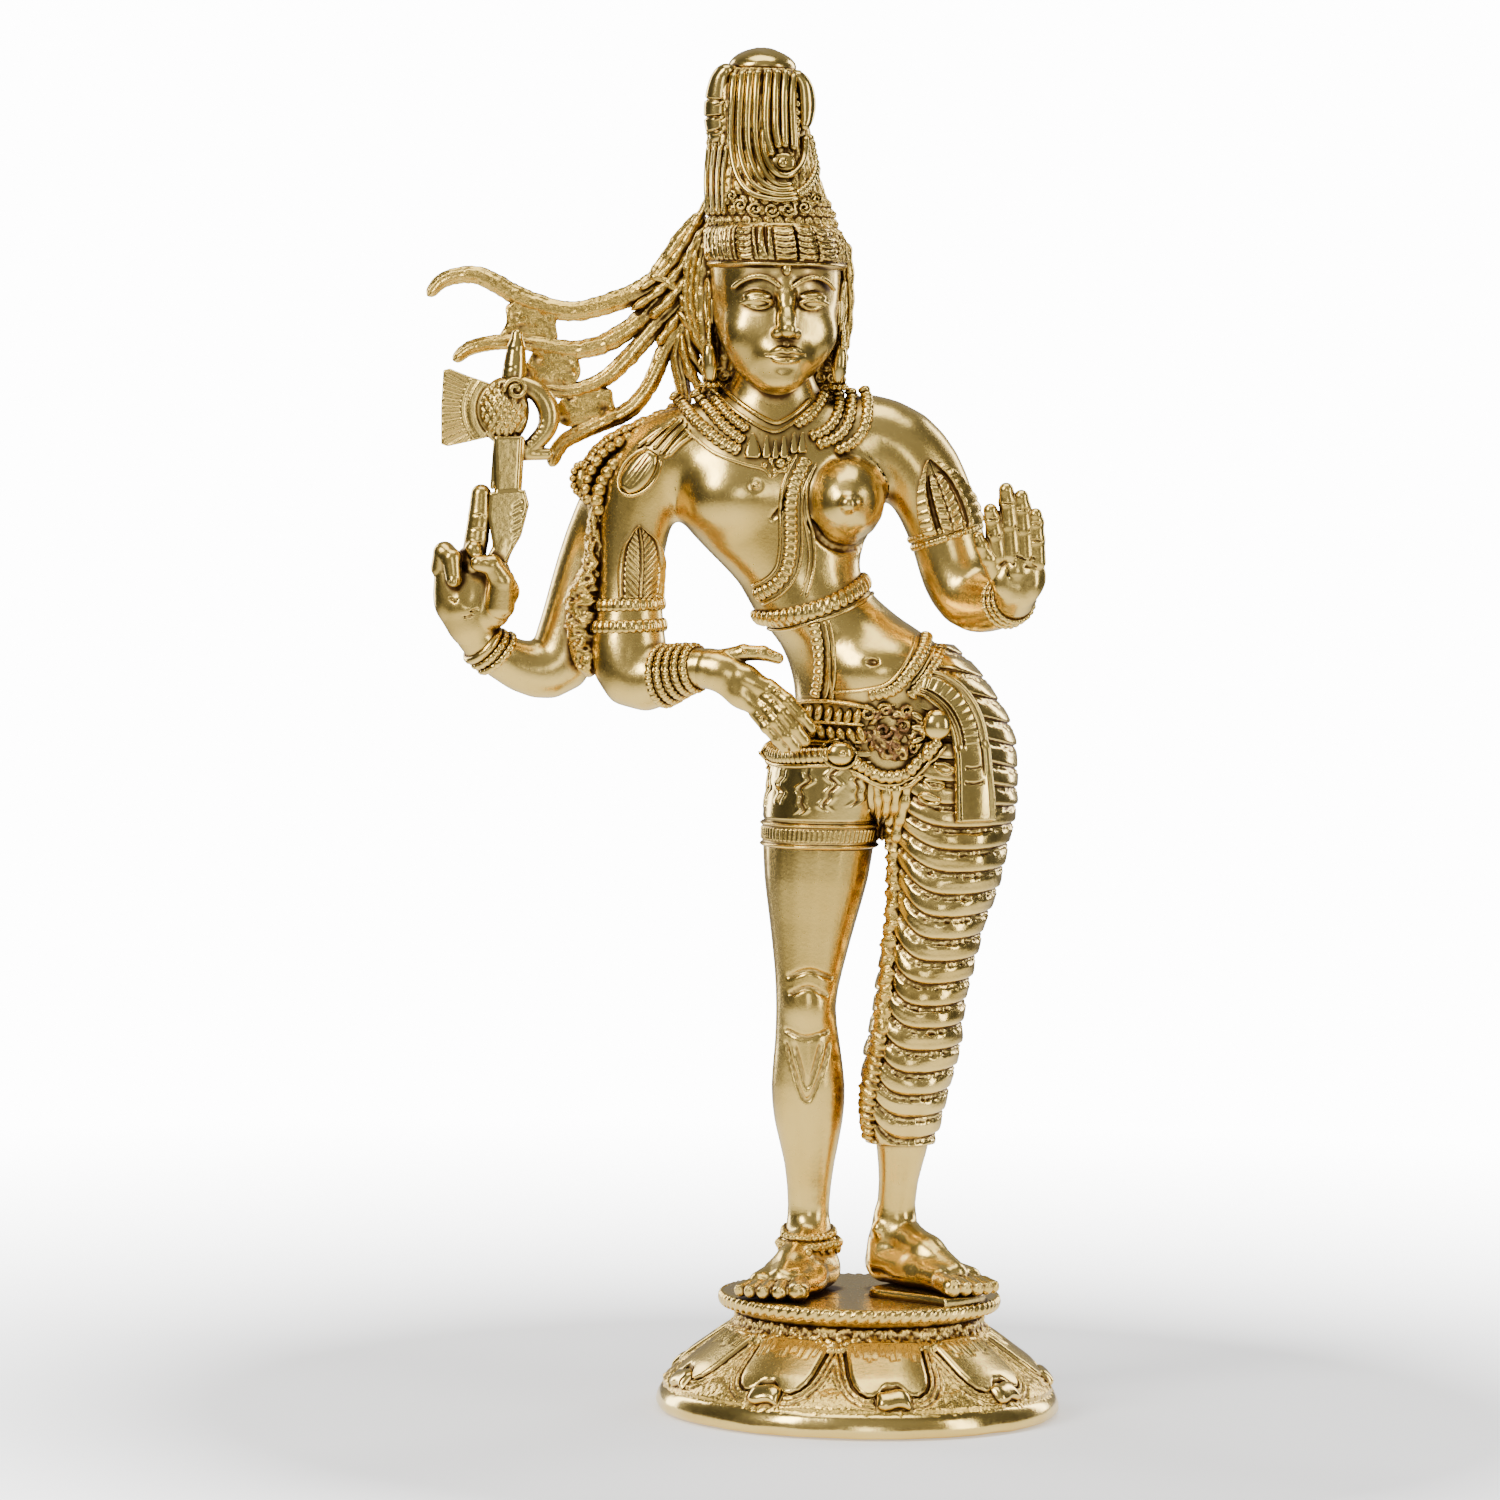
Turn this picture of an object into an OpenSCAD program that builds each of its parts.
// Cast brass figure, half god and half goddess, standing on a lotus pedestal.
// All lengths are millimetres. +Z is up and -Y is the front of the figure.
// Every piece is placed where it stands on the finished figure.

/* [Pedestal] */
// Radius of the round foot of the pedestal
foot_r = 37.8; // [36:0.1:40]
// Height of the lotus bell, from the table to the neck
bell_h = 14; // [13:0.5:15]
// Radius of the neck between the bell and the plate
neck_r = 22; // [20:0.5:24]
// Radius of the plate that the feet stand on
plate_r = 26; // [25:0.5:28]
// Height of the top of the plate
plate_top = 22.5; // [22:0.25:23]
// Wall thickness of the hollow casting
wall = 3; // [2:0.5:4]
// Number of lotus petals
petals = 9; // [6:1:12]
// Number of beads round the plate
beads = 78; // [40:1:90]

/* [Figure] */
// Number of folds in the sari
sari_folds = 19; // [12:1:24]
// How far the lower edge of each fold stands out
fold_lift = 0.9; // [0.4:0.1:1.4]
// Half the thickness of a beaded strand
strand_r = 0.9; // [0.6:0.1:1.2]
// Number of strands in the necklace
necklace_rows = 4; // [3:1:5]

/* [Detail] */
// Sides of a limb's cross section
limb_sides = 16; // [12:2:24]
// Rings between two stations of a limb
limb_steps = 2; // [1:1:3]

/* [Hidden] */
$fn = 64;
polished = "#d9b45a";
brushed = "#c39a3e";
rough = "#a67c2a";
red_brass = "#9c6a45";

// ---- Sweeps -------------------------------------------------------------------------
// A limb is a list of stations [x, y, z, a, b]: a centre, the half width a and the half
// depth b of the oval section there. The sections in between follow a smooth curve.

// Catmull-Rom value at t, between the second and the third of four stations
function between(p, q, r, s, t) =
    (2 * q + (r - p) * t + (2 * p - 5 * q + 4 * r - s) * t * t
    + (3 * q - p - 3 * r + s) * t * t * t) / 2;

// Station at u, which runs from 0 to the number of spans
function station(st, u) =
    let (last = len(st) - 1, i = min(floor(u), last - 1))
    between(st[max(i - 1, 0)], st[i], st[i + 1], st[min(i + 2, last)], u - i);

function place(s) = [s[0], s[1], s[2]];
function unit(v) = v / norm(v);

// Direction of the centre line at u
function heading(st, u) =
    let (last = len(st) - 1)
    unit(place(station(st, min(u + 0.05, last))) - place(station(st, max(u - 0.05, 0))));

// Across and depth directions of the section at u. A level limb keeps every section
// horizontal; any other is square to its centre line, with its depth near ref.
function across(st, u, ref, level) =
    level ? [1, 0, 0] : unit(cross(ref, heading(st, u)));
function depth(st, u, ref, level) =
    level ? [0, 1, 0] : cross(heading(st, u), across(st, u, ref, level));

// Point on the skin of a limb at u and an angle round it, lifted off the skin
function on(st, u, angle, lift = 0, ref = [0, 1, 0], level = true) =
    let (s = station(st, u))
    place(s) + across(st, u, ref, level) * (s[3] + lift) * cos(angle)
    + depth(st, u, ref, level) * (s[4] + lift) * sin(angle);

// Closed solid through rings of equal length, each a list of points
module rings_solid(rings) {
    count = len(rings);
    n = len(rings[0]);
    skin = [
        for (k = [0:count - 2])
            for (i = [0:n - 1])
                let (a = k * n + i, b = k * n + (i + 1) % n)
                    each [[a, a + n, b], [b, a + n, b + n]]
    ];
    first = [for (i = [0:n - 1]) i];
    last = [for (i = [n - 1:-1:0]) (count - 1) * n + i];
    polyhedron([for (r = rings) each r], concat([first], skin, [last]));
}

// Limb with domed ends, so that it closes softly at both
module limb(st, sides = limb_sides, steps = limb_steps, ref = [0, 1, 0], level = false) {
    last = len(st) - 1;
    // Each entry is [u, scale of the section, shift along the centre line]
    dome = [[0.5, 0.86], [0.9, 0.46]];
    plan = concat(
        [for (k = [1:-1:0]) [0, dome[k][1], -dome[k][0]]],
        [for (k = [0:last * steps]) [k / steps, 1, 0]],
        [for (k = [0:1]) [last, dome[k][1], dome[k][0]]]
    );
    rings_solid([
        for (p = plan)
            let (
                s = station(st, p[0]),
                reach = min(s[3], s[4]) * p[2] * (level ? 0.5 : 1),
                c = place(s) + (level ? [0, 0, sign(st[last][2] - st[0][2])]
                    : heading(st, p[0])) * reach,
                x = across(st, p[0], ref, level),
                y = depth(st, p[0], ref, level) * (level ? sign(st[last][2] - st[0][2]) : 1)
            )
            [
                for (i = [0:sides - 1])
                    let (t = 360 * i / sides)
                        c + x * s[3] * p[1] * cos(t) + y * s[4] * p[1] * sin(t)
            ]
    ]);
}

// Round strand through a list of points
module strand(points, r = strand_r, sides = 6, steps = 2, ref = [0, 1, 0.01]) {
    limb([for (p = points) [p[0], p[1], p[2], r, r]], sides, steps, ref);
}

// Flat strap through a list of points, half_w wide each way and half_t thick each way
module strap(points, half_w, half_t, sides = 8, steps = 2, ref = [0, 1, 0.01]) {
    limb([for (p = points) [p[0], p[1], p[2], half_w, half_t]], sides, steps, ref);
}

// Ring of round section lying on a limb at u, tipped by tilt stations
module band(st, u, half_h, lift, tilt = 0, turns = 20, ref = [0, 1, 0], level = true) {
    sides = 6;
    rings_closed([
        for (k = [0:turns - 1])
            let (
                angle = 360 * k / turns,
                v = u + tilt * cos(angle),
                inner = on(st, v, angle, -0.4, ref, level),
                outer = on(st, v, angle, lift, ref, level),
                mid = (inner + outer) / 2,
                out = (outer - inner) / 2,
                up = (level ? [0, 0, 1] : heading(st, v)) * half_h
            )
            [for (i = [0:sides - 1]) mid + out * cos(60 * i) + up * sin(60 * i)]
    ]);
}

// Closed loop of rings, the last joined to the first
module rings_closed(rings) {
    count = len(rings);
    n = len(rings[0]);
    polyhedron([for (r = rings) each r], [
        for (k = [0:count - 1])
            for (i = [0:n - 1])
                let (
                    a = k * n + i,
                    b = k * n + (i + 1) % n,
                    c = ((k + 1) % count) * n + i,
                    d = ((k + 1) % count) * n + (i + 1) % n
                )
                    each [[a, c, b], [b, c, d]]
    ]);
}

// Chain of rounded links, each a hull of two balls, drawn as one smooth form
module chain(points, radii) {
    for (k = [0:len(points) - 2])
        hull() {
            translate(points[k]) sphere(radii[k], $fn = 10);
            translate(points[k + 1]) sphere(radii[k + 1], $fn = 10);
        }
}

// ---- Stations of the figure -----------------------------------------------------------
right_leg_line = [
    [-9.8, 4, 31, 4.3, 4.8], [-9.8, 4, 38, 4.0, 4.3], [-9.8, 3, 46, 4.8, 5.2],
    [-10.1, 2.2, 54, 6.5, 6.8], [-10.3, 1.2, 61, 7.0, 7.4], [-10.6, 0, 69, 6.2, 6.8],
    [-11, -0.8, 76, 5.7, 6.6], [-10.6, -0.5, 83, 6.5, 7.6], [-10, 0, 92, 8.2, 9.4],
    [-9.5, 0, 100, 9.8, 10.8], [-9.2, 0, 107, 10.5, 11.6]
];
left_shin_line = [
    [6.2, 4, 32, 4.0, 4.6], [6.5, 3.4, 36, 3.7, 4.2], [7, 2.5, 43, 3.8, 4.4],
    [7.5, 1.8, 49, 4.8, 5.4], [7.6, 1.2, 56, 5.8, 6.2]
];
sari_line = [
    [7.2, 1.5, 51, 6.6, 6.8], [7.6, 1, 59, 8.3, 8.3], [9, 0.5, 68, 8.7, 9],
    [10.6, 0, 79, 8.5, 9.2], [12.4, 0, 89, 8.9, 10], [14.2, 0, 98, 10, 11.2],
    [14.9, 0.4, 106, 11.2, 12.2], [14.6, 0.8, 114, 12.8, 13.4], [13.9, 1, 123, 13.2, 13.8],
    [12.8, 1, 131, 11.8, 13], [11, 1, 138, 9.2, 11.6], [8.8, 1, 144, 6, 9]
];
torso_line = [
    [3.5, 1, 116, 17, 11.5], [3.8, 0.6, 124, 18.5, 12.8], [3.8, 0, 131, 18, 13],
    [2.2, 0, 137, 16.8, 12.8], [-2, 0, 143.5, 15, 12], [-8.6, 0, 149.4, 13.3, 11],
    [-13.2, 0, 155, 11.9, 10.3], [-16.4, 0, 160.5, 14.2, 10.8], [-18, 0, 166.5, 18.2, 11.8],
    [-18.6, 0, 172, 20, 12.8], [-20, 0.5, 178, 22.5, 12.4], [-20.5, 1, 183, 23, 10.6],
    [-20, 1, 187, 17, 8.6], [-19.3, 0.5, 190, 9, 7.2]
];
head_line = [
    [-19, -9, 191.5, 3.4, 3], [-19, -7.4, 194, 6.8, 6.6], [-19, -5.2, 198, 9.5, 9.6],
    [-19, -3.8, 203, 11.3, 11.4], [-19, -3, 209, 12.1, 12.3], [-19.2, -2.6, 215, 12.1, 12.5],
    [-19.8, -2.4, 221, 11.2, 11.8]
];
crown_line = [
    [-19.2, -2.5, 218, 12.2, 12.4], [-20.1, -2.2, 223, 12, 12.2], [-21.5, -1.8, 228, 11.2, 11.6],
    [-22.4, -1.6, 234, 10.2, 10.6], [-22.9, -1.4, 241, 9.8, 10.2], [-23, -1.4, 246, 9.4, 9.6],
    [-22.7, -1.4, 249.4, 7.6, 7.8]
];
front_arm_line = [
    [-36, 0, 180.5, 6.4, 7.6], [-40.5, 0.4, 177, 7.8, 8.4], [-43.8, 0.8, 171, 7.8, 8.2],
    [-45.2, 1.2, 164, 7.1, 7.4], [-45.6, 0.8, 156, 6.4, 6.6], [-45.5, 0, 149, 6.6, 6.6],
    [-45.4, -1, 142.4, 7.4, 7], [-43.6, -2.6, 137.4, 7, 6.6], [-39.6, -5, 137.2, 5.6, 5.4],
    [-35, -8, 138.8, 4.4, 4.3], [-31, -10.4, 139.4, 3.8, 3.6], [-28, -11.8, 138.6, 3.7, 3.2]
];
back_arm_line = [
    [-42, 7, 178, 6.5, 6.2], [-47.6, 7.4, 171, 6.6, 6.4], [-51.8, 7.8, 162, 6.2, 6.2],
    [-54.6, 8, 153, 6, 6], [-56.4, 8, 145, 6.3, 6], [-58.6, 7.6, 139.2, 6.4, 6],
    [-63, 6.2, 137.8, 5.5, 5.3], [-68, 4.4, 139.6, 4.6, 4.5], [-72.4, 2, 142.2, 3.9, 3.8],
    [-75.2, 0.4, 145.6, 3.6, 3.6]
];
left_arm_line = [
    [-1, 0.5, 183.4, 7.2, 7.8], [4.4, 0.2, 180.6, 7.9, 8], [8.8, 0, 175.6, 7.8, 7.8],
    [11.8, 0, 169.6, 7.2, 7.3], [14, -0.2, 163.4, 6.8, 6.8], [15.8, -0.8, 157.6, 6.8, 6.6],
    [18.2, -3, 153.4, 6.5, 6.2], [21.2, -7, 152.2, 5.6, 5.4], [24.2, -11.6, 152.6, 4.6, 4.5],
    [26.2, -15.4, 153.4, 3.8, 3.8]
];

// ---- Pedestal ---------------------------------------------------------------------------
// Outer line of the bell, from the rim up to the neck, as a smooth curve
bell_line = [
    [foot_r - 1.2, 4.6, 0], [foot_r - 3, 6.4, 0], [foot_r - 6, 9, 0],
    [foot_r - 9.4, 11.6, 0], [foot_r - 12.6, bell_h, 0], [neck_r + 0.4, bell_h + 1.6, 0]
];
function bell_curve(drop) = [
    for (k = [0:10])
        let (p = between_points(bell_line, k / 2)) [p[0] - drop, p[1] - drop * 0.9]
];
function between_points(line, u) =
    let (last = len(line) - 1, i = min(floor(u), last - 1))
    between(line[max(i - 1, 0)], line[i], line[i + 1], line[min(i + 2, last)], u - i);

module lotus_base() {
    outer = bell_curve(0);
    inner = bell_curve(wall);
    color(rough)
        rotate_extrude()
            polygon(concat(
                [[foot_r - 4.2, 0], [foot_r - 1.2, 0]],
                outer,
                [[neck_r, plate_top - 4], [neck_r - wall, plate_top - 4]],
                [for (k = [10:-1:0]) inner[k]]
            ));
}

module base_rim() {
    color(polished)
        rotate_extrude()
            difference() {
                union() {
                    translate([foot_r - 2.4, 2.5]) circle(2.4);
                    translate([foot_r - 3.4, 0.1]) square([2.2, 2.4]);
                    translate([foot_r - 2.6, 0]) square([1.6, 4]);
                }
                translate([foot_r - 6, -3]) square([8, 3]);
                translate([0, -3]) square([foot_r - 3.4, 12]);
            }
}

// Outline of one petal laid flat, with two lobes and a blunt tip, radius outward along x
module petal_outline() {
    union() {
        translate([30.4, 4.7]) circle(5);
        translate([30.4, -4.7]) circle(5);
        translate([33.2, 2.6]) circle(3.6);
        translate([33.2, -2.6]) circle(3.6);
        translate([26, -4.5]) square([6, 9]);
    }
}

// Thin shell that follows the bell, which the petals are cut from
module bell_skin(lift) {
    rotate_extrude()
        polygon(concat(
            [for (p = bell_curve(-lift)) p],
            [for (k = [10:-1:0]) bell_curve(0.6)[k]]
        ));
}

module lotus_petals() {
    color(brushed)
        for (k = [0:petals - 1])
            rotate([0, 0, -80 + 360 * k / petals])
                intersection() {
                    bell_skin(0.9);
                    translate([0, 0, 5]) linear_extrude(14) petal_outline();
                }
}

module petal_tips() {
    color(polished)
        for (k = [0:petals - 1])
            rotate([0, 0, -80 + 360 * k / petals])
                translate([foot_r - 3.6, 0, 6.6])
                    rotate([0, -32, 0])
                        rotate([0, 90, 0])
                            cylinder(h = 2.4, r1 = 2.8, r2 = 1.9, center = true);
}

module neck_band() {
    color(rough)
        rotate_extrude()
            polygon([
                [neck_r - 0.2, 14.8], [neck_r + 2.2, 15.2], [neck_r + 2.9, 16.2],
                [neck_r + 2.4, 17.4], [neck_r + 3, plate_top - 4.2], [neck_r - 0.2, plate_top - 4.2]
            ]);
}

module plinth_plate() {
    color(brushed)
        rotate_extrude()
            polygon([
                [0, plate_top - 4], [neck_r, plate_top - 4], [neck_r + 3, plate_top - 3.8],
                [plate_r - 0.4, plate_top - 2.6], [plate_r, plate_top - 1.7],
                [plate_r - 0.5, plate_top - 0.6], [plate_r - 2, plate_top - 0.1], [0, plate_top]
            ]);
}

module plate_beads() {
    color(polished)
        for (k = [0:beads - 1])
            rotate([0, 0, 360 * k / beads])
                translate([plate_r + 0.2, 0, plate_top - 1.5]) sphere(0.92, $fn = 32);
}

module foot_block() {
    color(polished)
        translate([0, 0, plate_top - 0.3])
            intersection() {
                cylinder(h = 2, r = plate_r - 0.6);
                translate([13.5, -10, 0])
                    rotate([0, 0, -38])
                        linear_extrude(2) {
                            translate([-9, -6.5]) square([22, 13]);
                            translate([13, 0]) circle(6.5);
                        }
            }
}

// ---- Legs and drapery --------------------------------------------------------------------
module right_leg() {
    color(brushed) limb(right_leg_line, level = true);
}

module left_shin() {
    color(brushed) limb(left_shin_line, level = true);
}

// Foot: a wedge from the heel to the ball, an ankle above it, and five toes in a row
module foot(heel, ball, ankle, spread) {
    side = unit(cross([ball[0] - heel[0], ball[1] - heel[1], 0], [0, 0, 1]));
    way = unit([ball[0] - heel[0], ball[1] - heel[1], 0]);
    hull() {
        translate(heel) sphere(3.6, $fn = 12);
        translate(ankle) sphere(4.1, $fn = 12);
    }
    hull() {
        translate(ankle) sphere(3.9, $fn = 12);
        translate((heel + ball) / 2) sphere(3.8, $fn = 12);
    }
    hull() {
        translate(heel) sphere(3.5, $fn = 12);
        translate(ball + side * spread * 0.62) sphere(2.4, $fn = 12);
        translate(ball - side * spread * 0.62) sphere(2.3, $fn = 12);
    }
    for (k = [0:4])
        let (
            s = spread * (k - 2) / 2,
            r = [1.45, 1.5, 1.55, 1.6, 2][k],
            reach = [3.4, 4.2, 4.8, 5.2, 5.4][k],
            root = ball + side * s * 0.9 - [0, 0, 0.9]
        )
            hull() {
                translate(root) sphere(r + 0.2, $fn = 10);
                translate(root + way * reach + [0, 0, r - 1.6]) sphere(r, $fn = 10);
            }
}

module right_foot() {
    color(brushed) foot([-6.6, 4.6, 26.2], [-13.6, -11.5, 25.1], [-9.4, 3.4, 31.5], -6);
}

module left_foot() {
    color(brushed) foot([3.8, 4.2, 27.4], [17.2, -9.6, 26.2], [6.4, 3.4, 32.6], 5.6);
}

module right_anklet() {
    color(rough) band(right_leg_line, 0.05, 1, 1.1);
}

// Sari: a limb whose skin steps in under the lower edge of every fold. Each fold hangs
// lowest at the front and climbs towards the inner side.
module draped_sari() {
    last = len(sari_line) - 1;
    sides = 16;
    sag = 2.2;
    lean = 1.4;
    levels = concat(
        [[0, 0.86, 0.3], [0.02, 1, fold_lift]],
        [for (k = [1:sari_folds - 1]) each [
            [last * k / sari_folds - 0.05, 1, 0],
            [last * k / sari_folds, 1, fold_lift]
        ]],
        [[last, 0.96, 0], [last, 0.5, 0]]
    );
    color(polished)
        rings_solid([
            for (v = levels)
                let (s = station(sari_line, v[0]), c = place(s), lift = v[2])
                [
                    for (i = [0:sides - 1])
                        let (
                            t = 360 * i / sides,
                            droop = min(1, v[0] * 0.6, (last - v[0]) * 0.5 + 0.1),
                            dz = (sag * cos(t) * cos(t) - lean * cos(t)) * droop,
                            dome = v[1] == 0.5 ? 2 : 0
                        )
                            c + [(s[3] + lift) * v[1] * cos(t), (s[4] + lift) * v[1] * sin(t),
                                dz + dome]
                ]
        ]);
}

// Rippled edge of the cloth that falls along the inside of the leg
module sari_pleat_edge() {
    color(rough)
        limb([
            for (k = [0:9])
                let (u = 0.1 + k * 0.66, p = on(sari_line, u, 212, -0.4))
                    [p[0], p[1], p[2], 1.7 + 0.4 * (k % 2), 1.5]
        ], sides = 10, steps = 2, level = true);
}

module thigh_band() {
    color(polished) band(right_leg_line, 9.98, 1.6, 1.2, turns = 24);
}

module shorts() {
    color(polished)
        limb([
            [-8.4, 0, 110.6, 10.6, 11.9], [-8.1, 0, 114, 11, 12.4], [-7, 0, 119, 11.6, 12.8],
            [-5.6, 0, 123.6, 12.2, 12.8]
        ], sides = 20, level = true);
}

// ---- Belt ----------------------------------------------------------------------------------
module hip_girdle() {
    color(brushed)
        strap([
            [14, 12.6, 134], [4, 14.6, 128.4], [-8, 12.6, 124], [-16.4, 6.4, 122.4],
            [-18.4, -2, 122.4], [-15.6, -9.4, 122.8], [-10.6, -12.6, 123.4], [-5, -13.6, 124]
        ], 1.9, 1.3, sides = 10, steps = 3, ref = [0, 0.01, 1]);
}

module belt_clasp() {
    color(polished) translate([-5, -14.6, 124]) rotate([90, 0, 0]) cylinder(h = 3, r = 2.6, center = true);
}

// Two short banks of cast ornament above the belt, with a loop hanging beside them
module belt_ornaments() {
    color(brushed) {
        strand([[-12.4, -12.6, 131.6], [-7, -13.6, 132.4], [-1, -13.8, 131.8]], 1.6);
        strand([[-13.8, -12.4, 127.6], [-8, -13.9, 128.6], [-2, -14.2, 128]], 2);
    }
    color(red_brass)
        strand([[3, -13, 134], [5.8, -13.4, 130.4], [2.6, -13.8, 126.6], [-1.4, -14.2, 124.6]], 1.7);
}

module swag_cord() {
    color(brushed)
        strand([
            [-3.6, -14.6, 123.4], [-0.4, -14.9, 121.2], [3, -15, 119.8], [6.8, -15.2, 120.6],
            [10, -15.2, 123.4], [12.8, -14.9, 127.2]
        ], 1.2);
}

module hip_sash() {
    color(polished) {
        strap([
            [7.6, -12.8, 137.4], [12.6, -13.8, 135.4], [17.4, -13.4, 131], [19.8, -13.4, 124.6],
            [20.2, -13.4, 118], [20.2, -12.8, 112.4]
        ], 3, 1.2, sides = 10, steps = 1);
    }
}

module hip_boss() {
    color(polished) translate([12.4, -12.6, 130]) sphere(3.2, $fn = 48);
}

// ---- Torso and its jewellery ------------------------------------------------------------------
module torso() {
    color(brushed) limb(torso_line, sides = 20, level = true);
}

module breast() {
    color(brushed)
        limb([[-5.6, -6, 170.8, 7.6, 8.2], [-5.5, -9.5, 170.8, 7.4, 7.9], [-5.3, -12.6, 170.5, 6.2, 6.6],
            [-5.2, -15, 170.3, 4.4, 4.6], [-5, -16.8, 170.2, 1.8, 1.8]],
            ref = [0, 0, 1]);
}

module sacred_thread() {
    color(brushed)
        strand([
            [-20.6, -12.2, 177], [-16.4, -13, 177], [-15, -13.4, 172.6], [-15.4, -13, 166],
            [-15.8, -12, 160], [-17.6, -10.8, 155], [-20.6, -8.4, 152.4], [-23.4, -4.4, 152]
        ]);
}

module waistband() {
    turn = 30;
    color(brushed)
        strand([
            for (k = [0:12])
                let (angle = -turn - 10 * k)
                    on(torso_line, 5.2 + 1.2 * pow(cos(angle), 2) * (angle > -90 ? 1 : 0.2), angle, 0.4)
        ]);
}

module front_strand() {
    color(brushed)
        strand([
            [-10.8, -11.2, 148.6], [-10.2, -11.6, 144.6], [-9.6, -12.4, 140], [-9.6, -13, 136],
            [-10.4, -13.2, 133.4]
        ], 1.2);
}

module hip_strands() {
    color(brushed)
        for (k = [0, 1])
            strand([
                [10.4 + 3.2 * k, -6.4, 146.2 - 2.6 * k], [9 + 2.8 * k, -9.6, 142.6 - 2 * k],
                [6.4 + 2.8 * k, -12.6, 138.4 - 1.4 * k], [3.8 + 3.4 * k, -13.6, 135.4 - 0.6 * k]
            ], 1.1);
}

// Strands of the necklace, each longer and lower than the one inside it
module necklace() {
    color(brushed)
        for (k = [0:necklace_rows - 1])
            let (f = k / (necklace_rows - 1))
                strand([
                    for (angle = [-15:15:195])
                        [
                            -18.2 + (9.2 + 7.6 * f) * cos(angle),
                            -0.6 - (8.4 + 4.4 * f) * pow(max(0, sin(angle)), 0.8),
                            191.4 - 1.6 * f - (4.4 + 7 * f) * max(0, sin(angle))
                        ]
                ], strand_r + 0.25 * f, steps = 1);
}

module necklace_pendants() {
    color(polished)
        for (k = [0:4])
            let (angle = 60 + 15 * k)
                translate([-17.6 + 16.8 * cos(angle), -13.4, 190.6 - 13.4 * sin(angle)])
                    sphere(1.3, $fn = 32);
}

// ---- Head and crown --------------------------------------------------------------------------
module neck() {
    color(brushed)
        limb([[-19, 0, 185, 8.4, 7.6], [-19, -0.6, 190, 7, 6.8], [-19, -1.4, 196, 6.8, 6.8]],
            level = true);
}

module head() {
    color(polished) limb(head_line, sides = 18, level = true);
}

module diadem() {
    color(brushed) band(head_line, 5.1, 3.6, 1.4, turns = 24);
}

module crown() {
    color(rough) limb(crown_line, sides = 18, level = true);
}

module crown_knob() {
    color(polished)
        translate([-22.3, -1.4, 0])
            rotate_extrude()
                polygon([
                    [0, 249], [5.6, 249], [6.2, 250.4], [5.8, 251.6], [4.4, 252.4], [4.4, 253.2],
                    [3, 254.1], [0, 254.5]
                ]);
}

module crown_front_panel() {
    color(polished)
        limb([
            [-20.4, -12.4, 227.4, 3.6, 1.4], [-20.4, -12.2, 231, 5.4, 1.8],
            [-20.7, -11.6, 238, 6, 1.8], [-21.2, -10.8, 245, 5.8, 1.8], [-21.6, -8.8, 249.6, 4.4, 1.6]
        ], level = true);
}

module crown_side_lobes() {
    color(polished) {
        limb([[-30, -6, 237, 2.4, 3], [-30.4, -5.6, 243, 2.8, 3.6], [-28.8, -4.6, 249, 2.4, 3]],
            sides = 12, steps = 1, level = true);
        limb([[-14.6, -5, 238, 1.8, 2.8], [-13.9, -4.6, 243, 2.2, 3.2], [-15.4, -4, 248.6, 1.8, 2.6]],
            sides = 12, steps = 1, level = true);
    }
}

module ears() {
    color(brushed)
        for (side = [-1, 1])
            limb([
                [-19 + 11.6 * side, -1.6, 200.6, 1.2, 1.9], [-19 + 12.2 * side, -1.4, 205, 1.4, 2.6],
                [-19 + 12.4 * side, -1, 209.6, 1.5, 3]
            ], sides = 12, steps = 1, level = true);
}

module earrings() {
    color(polished)
        for (side = [-1, 1]) {
            translate([-19 + 12.2 * side, -1.6, 197.4]) sphere(2.1, $fn = 40);
            translate([-19 + 12.4 * side, -1.4, 191.2])
                cylinder(h = 5, r1 = 2, r2 = 1.1);
        }
}

// Hair that falls behind the ears to the shoulders
module nape_hair() {
    color(rough)
        limb([
            [-19.4, 4, 186.5, 12.5, 3.6], [-19.4, 5, 193, 12.6, 4.6], [-19.6, 5, 201, 13, 6],
            [-19.8, 3.8, 209, 13, 7.6], [-20, 2.6, 216, 12.4, 8.6]
        ], steps = 1, level = true);
}

module shoulder_lock() {
    color(polished)
        limb([
            [-34.4, -8, 185.4, 2.2, 1.4], [-38.2, -8.4, 181, 3.2, 1.6], [-42, -8, 177, 3.8, 1.6],
            [-45.2, -7, 173.2, 2.6, 1.4]
        ], sides = 12);
}

// Lumpy flower border that runs over the shoulder
module shoulder_scallop() {
    color(rough)
        for (p = [
            [-38, 186.6, 1.7], [-41.6, 185.2, 1.8], [-45.2, 183.6, 1.9], [-48.6, 181.9, 2.1],
            [-51.6, 179.7, 2.4], [-53.6, 176.5, 2.5], [-54.9, 173, 2.4]
        ])
            translate([p[0], 3, p[1]]) sphere(p[2], $fn = 32);
}

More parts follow.
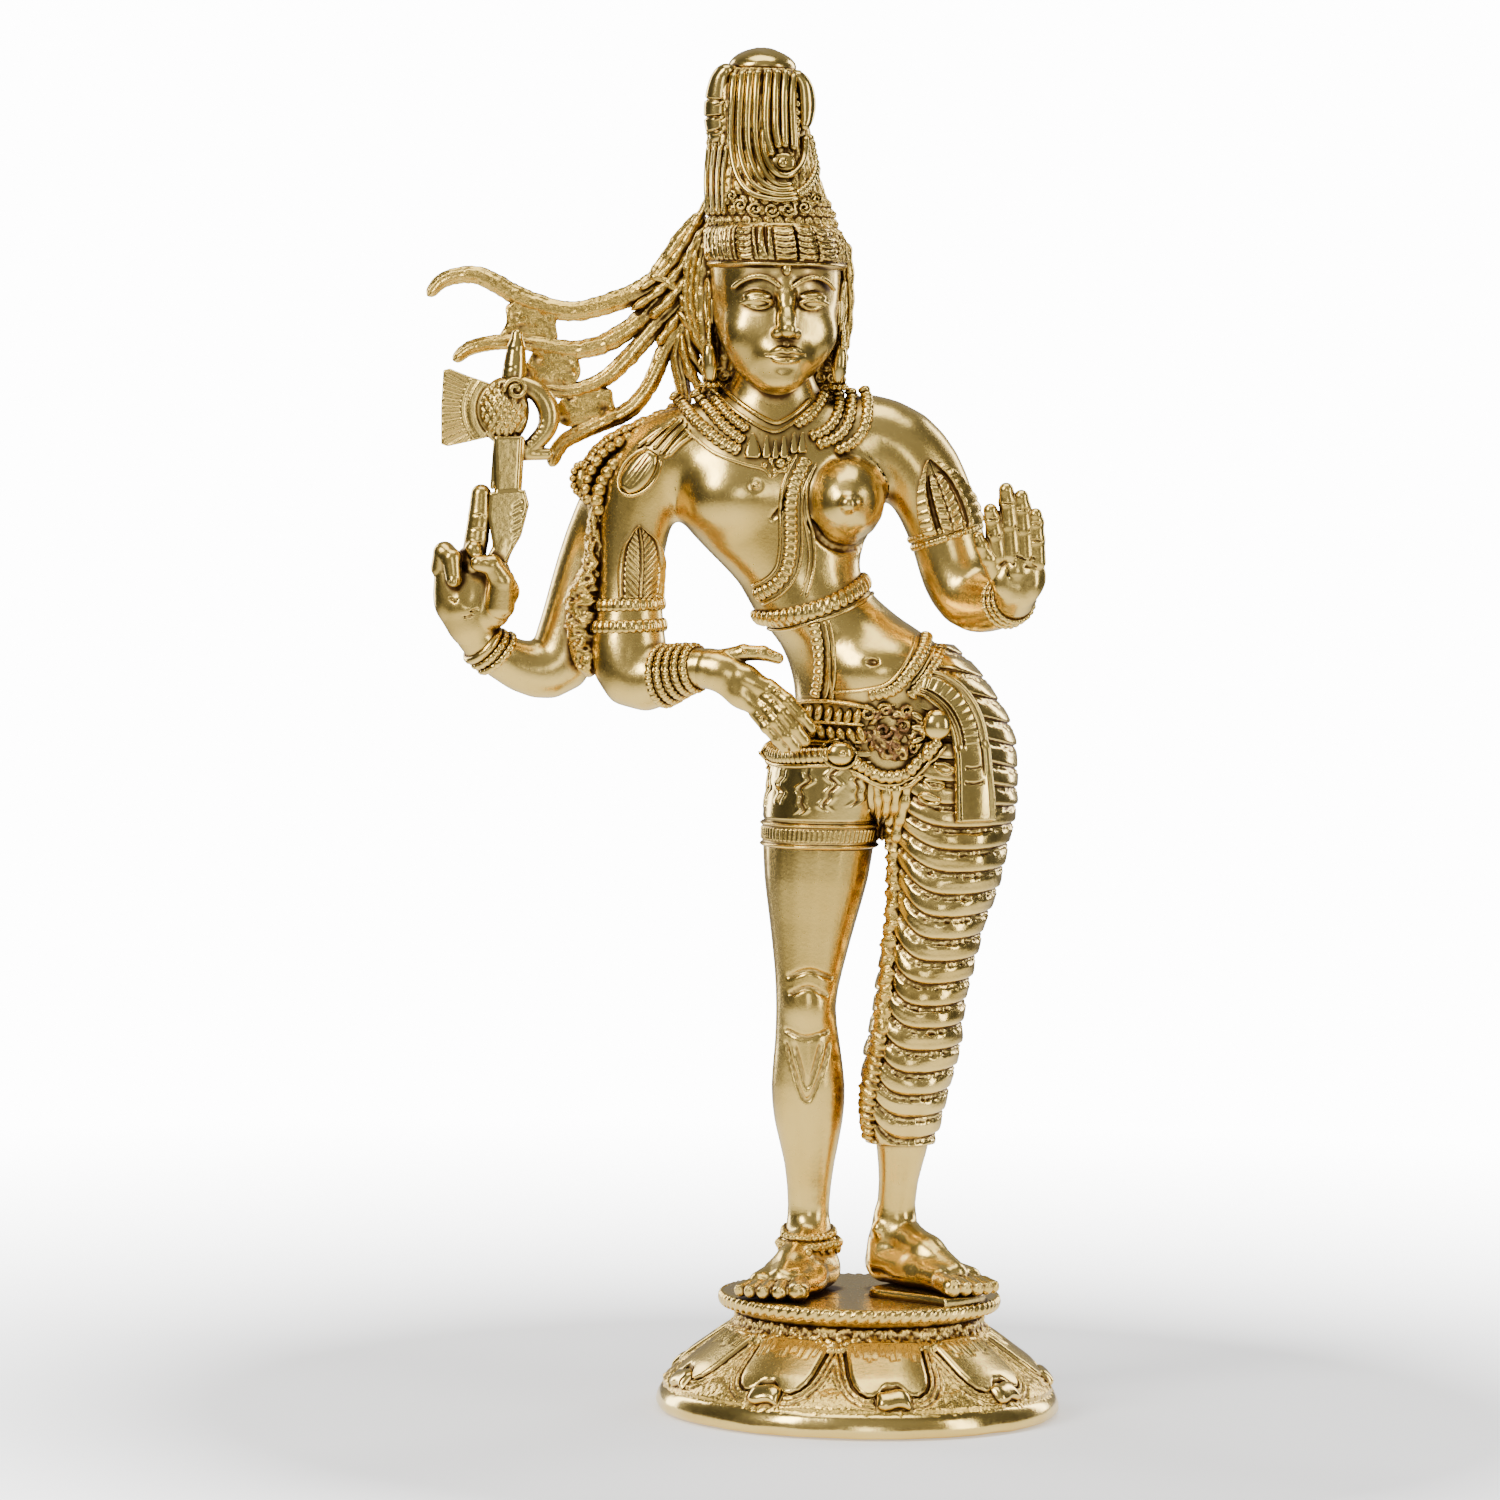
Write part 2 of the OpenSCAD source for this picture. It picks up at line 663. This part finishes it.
// ---- Flying hair -----------------------------------------------------------------------------
// Each lock is a list of [x, z, half width] from its free tip to its root at the head
lock_lines = [
    [[-84.2, 207.4, 1.1], [-80.6, 210.7, 1.5], [-74.4, 211.3, 1.7], [-66, 207.2, 1.9],
        [-57.6, 205, 1.9], [-49.4, 206.9, 2], [-42, 210.6, 2.2], [-36.4, 218.6, 2]],
    [[-79.2, 195.4, 1.1], [-75, 198.2, 1.4], [-66.4, 199.2, 1.6], [-57, 197.8, 1.8],
        [-50, 199.6, 1.9], [-43.6, 204.4, 1.9], [-37.2, 212, 2]],
    [[-63.4, 190.6, 1.3], [-57, 190.1, 1.5], [-51, 192.4, 1.6], [-46, 197, 1.7],
        [-41, 203, 1.8], [-36.4, 208, 2]],
    [[-60.7, 175.9, 1.2], [-58.4, 180.4, 1.5], [-52, 184, 1.7], [-46, 186.8, 1.7],
        [-42.4, 191.4, 1.6], [-39.4, 198.4, 1.7], [-36, 204.6, 2]],
    [[-35.6, 187.4, 1.5], [-36.2, 192, 1.5], [-37, 197, 1.7], [-35.6, 202, 2.2]]
];

module hair_lock(k) {
    color(rough)
        limb([for (p = lock_lines[k]) [p[0], 6, p[1], p[2], 1.7]], sides = 12);
}

// Thin plates between the locks, left where the metal ran across
module hair_bridges() {
    color(rough) {
        limb([[-64.6, 6, 200.4, 5, 0.9], [-64.8, 6, 206.6, 5.2, 0.9]], 12, 1, level = true);
        limb([[-61, 6, 191, 4.4, 0.9], [-60.8, 6, 196.8, 4.6, 0.9]], 12, 1, level = true);
        limb([[-54.6, 6, 184.6, 4.6, 0.9], [-54.6, 6, 188.6, 4.8, 0.9]], 12, 1, level = true);
    }
}

// ---- Arms and hands ----------------------------------------------------------------------------
module right_front_arm() {
    color(brushed) limb(front_arm_line);
}

// Hand that rests on the belt, fingers pointing down and across
module right_front_hand() {
    color(brushed) {
        hull() {
            translate([-28, -11.8, 138.6]) sphere(3.1, $fn = 12);
            translate([-21.4, -13.4, 136.2]) sphere(2.4, $fn = 12);
            translate([-23, -13.4, 132.6]) sphere(2.4, $fn = 12);
        }
        for (k = [0:3])
            let (
                root = [-21.4 - 0.5 * k, -13.6, 136.4 - 1.35 * k],
                knuckle = [-16.8 - 0.4 * k, -15.2, 132.8 - 1.35 * k],
                tip = [-13.4 - 0.5 * k, -14.9, 129.2 - 1.3 * k]
            )
                chain([root, knuckle, tip], [1.5, 1.45, 1.2]);
        chain([[-27, -11.6, 140.4], [-22.6, -11.4, 142], [-17.8, -10.6, 142.2]], [2, 1.5, 1.2]);
    }
}

module right_back_arm() {
    color(brushed) limb(back_arm_line);
}

// Fist that holds the axe, with one finger raised along the shaft
module right_back_hand() {
    color(brushed) {
        hull() {
            translate([-75.4, 0.2, 145.8]) sphere(3.6, $fn = 12);
            translate([-78, -1, 151.4]) sphere(3.7, $fn = 12);
            translate([-71.6, -1, 152.4]) sphere(3.7, $fn = 12);
        }
        hull() {
            translate([-78.4, -1.2, 152]) sphere(3.5, $fn = 12);
            translate([-79.6, -1.4, 157.6]) sphere(1.9, $fn = 12);
            translate([-74, -1.4, 155]) sphere(3.2, $fn = 12);
        }
        for (k = [0:3])
            chain([
                [-79 + 0.6 * k, -2.8, 157.2 - 1.6 * k], [-76.4 + 0.5 * k, -5, 156.6 - 1.8 * k],
                [-73.6 + 0.3 * k, -4.4, 154.6 - 1.6 * k]
            ], [1.5, 1.6, 1.4]);
        chain([[-70.6, -2.4, 153], [-70.2, -4, 156.4], [-73.2, -4.8, 157.8]], [2.2, 1.8, 1.4]);
        chain([[-73.6, -0.6, 157], [-73.4, -1, 164], [-72.8, -1, 170]], [2.2, 1.7, 1.4]);
    }
}

module axe_shaft() {
    color(polished) {
        limb([
            [-70.4, -2.4, 157, 2.6, 1.6], [-69.2, -2.2, 163, 4, 1.7], [-68.4, -1.8, 170, 3.6, 1.7],
            [-68.2, -1.4, 173, 2.6, 1.9], [-68.4, -0.8, 180, 2.4, 2], [-67.6, -0.4, 192, 2, 1.9],
            [-67, -0.2, 201, 1.5, 1.5]
        ], sides = 12, steps = 1, level = true);
    }
}

// Axe head: a ribbed bud on the shaft, a fan blade on one side and a hook on the other
module axe_head() {
    color(brushed) {
        limb([[-69, -0.6, 180.6, 2.6, 2.6], [-69.2, -0.6, 184, 4.4, 3.8], [-68.8, -0.4, 188.4, 4.4, 3.8],
            [-68, -0.4, 192, 2.6, 2.6]], level = true);
        translate([-80, 0.5, 186.4])
            rotate([90, 0, 0])
                linear_extrude(2.2)
                    polygon([[0, -6.4], [7.4, -5.2], [9.4, 0], [7.4, 5], [0, 6.6], [0.4, 0]]);
    }
    color(rough) {
        strand([
            [-65, 0.2, 190.6], [-62, 0.2, 188.4], [-61, 0.2, 184.6], [-62.6, 0.2, 181],
            [-65.6, 0.2, 178.8]
        ], 1.5);
        translate([-63.4, 0.2, 178.4]) rotate([0, 90, 0]) cylinder(h = 4, r = 1.1, center = true);
    }
}

module left_arm() {
    color(brushed) limb(left_arm_line);
}

// Open hand, palm to the front and fingers up
module left_hand() {
    color(brushed) {
        hull() {
            translate([26.4, -17, 153.6]) sphere(3.5, $fn = 12);
            translate([23.6, -20.2, 161.2]) sphere(1.9, $fn = 12);
            translate([29.4, -20.2, 160.6]) sphere(1.9, $fn = 12);
            translate([29.2, -18.6, 155.8]) sphere(2, $fn = 12);
        }
        for (k = [0:3])
            let (
                root = [23 + 2.3 * k, -20.4, 161.4 - 0.3 * k],
                tip = [[20.9, 23.6, 26.5, 29.2][k], -21.4, [169.6, 173.2, 172, 168.6][k]],
                mid = (root + tip) / 2 + [0, 0.3, 0]
            )
                chain([root, mid, tip], [1.5, 1.4, 1.15]);
        chain([[23.4, -18.2, 156.4], [20.6, -20.6, 160.4], [19, -21.2, 164.4]], [2.1, 1.6, 1.2]);
    }
}

// ---- Arm jewellery --------------------------------------------------------------------------------
// Leaf-shaped plate that lies along an arm, with its point upward
module leaf(points, widths) {
    limb([for (k = [0:len(points) - 1]) [points[k][0], points[k][1], points[k][2], widths[k], 1.1]],
        sides = 10, steps = 1);
}

module armlets() {
    color(brushed) {
        leaf([[-43.6, -6.2, 151.6], [-43.2, -6.6, 155.6], [-42.4, -7, 160], [-41.4, -7.4, 165.4]],
            [3.2, 3.8, 3, 0.8]);
        leaf([[16, -6.6, 164.6], [14.2, -7, 168.8], [12, -7.2, 173], [9.8, -7.4, 176.8]],
            [3.4, 3.4, 2.4, 0.8]);
    }
}

module elbow_bands() {
    color(brushed) {
        band(front_arm_line, 4.6, 1.1, 1, ref = [0, 1, 0], level = false);
        band(front_arm_line, 5.15, 1.1, 1, ref = [0, 1, 0], level = false);
        band(left_arm_line, 4.3, 0.8, 0.9, ref = [0, 1, 0], level = false);
    }
}

module wrist_bangles() {
    color(brushed) {
        band(front_arm_line, 9.3, 1.3, 0.9, turns = 16, level = false);
        band(back_arm_line, 7.7, 1.4, 0.9, turns = 16, level = false);
        band(left_arm_line, 8.5, 1, 0.9, turns = 16, level = false);
    }
}

// ---- Assembly ----------------------------------------------------------------------------------------
lotus_base();
base_rim();
lotus_petals();
petal_tips();
neck_band();
plinth_plate();
plate_beads();
foot_block();
right_leg();
right_foot();
right_anklet();
left_shin();
left_foot();
draped_sari();
sari_pleat_edge();
thigh_band();
shorts();
hip_girdle();
belt_clasp();
belt_ornaments();
swag_cord();
hip_sash();
hip_boss();
torso();
breast();
sacred_thread();
waistband();
front_strand();
hip_strands();
necklace();
necklace_pendants();
neck();
head();
diadem();
crown();
crown_knob();
crown_front_panel();
crown_side_lobes();
ears();
earrings();
nape_hair();
shoulder_lock();
shoulder_scallop();
hair_lock(0);  // hair_lock_1
hair_lock(1);  // hair_lock_2
hair_lock(2);  // hair_lock_3
hair_lock(3);  // hair_lock_4
hair_lock(4);  // hair_lock_5
hair_bridges();
right_front_arm();
right_front_hand();
right_back_arm();
right_back_hand();
axe_shaft();
axe_head();
left_arm();
left_hand();
armlets();
elbow_bands();
wrist_bangles();
